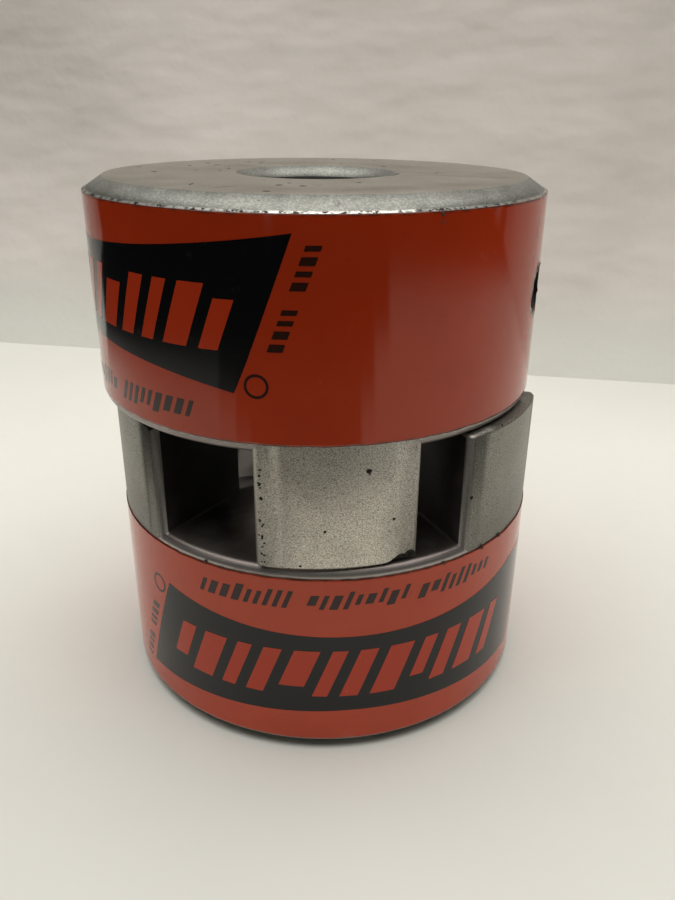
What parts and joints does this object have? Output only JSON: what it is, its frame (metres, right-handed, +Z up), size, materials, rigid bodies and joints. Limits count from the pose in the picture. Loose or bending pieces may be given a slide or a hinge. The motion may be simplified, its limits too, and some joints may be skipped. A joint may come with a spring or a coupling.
{
  "type": "jaw coupling",
  "caption": "Straight-jaw shaft coupling: equal iron hubs with keyed bores stand jaw to jaw, wrapped in red-orange labels, leg gaps open for a spider.",
  "frame": {"origin": "centre of the bottom face, midway between the two hub axes, on the surface that the coupling stands on", "axes": "+Z up along the shaft axis from the lower hub to the upper hub; +X to the right and -Y towards the viewer, with one upper jaw facing -Y"},
  "size_m": [0.0978, 0.0956, 0.1128],
  "materials": {
    "cast_iron": "machined, fine pores, lightly oiled",
    "label_red": "glossy printed vinyl, scuffed",
    "screw_steel": "black oxide"
  },
  "bodies": {
    "lower": {"lower_hub": "cast_iron", "lower_label": "label_red"},
    "upper": {"upper_hub": "cast_iron", "upper_label": "label_red"},
    "lower_screw": {"lower_set_screw": "screw_steel"},
    "upper_screw": {"upper_set_screw": "screw_steel"}
  },
  "joints": [
    {"name": "upper_hub_turn", "type": "hinge", "parent": "lower", "child": "upper", "pos_m": [-0.00105, 0, 0.0564], "axis": [0, 0, 1], "range_deg": [-29.2, 8]},
    {"name": "lower_screw_travel", "type": "slide", "parent": "lower", "child": "lower_screw", "axis": [0.7749, -0.632, 0], "range_m": [-0.014, 0.003]},
    {"name": "upper_screw_travel", "type": "slide", "parent": "upper", "child": "upper_screw", "axis": [-0.9403, 0.3404, 0], "range_m": [-0.014, 0.003]}
  ]
}
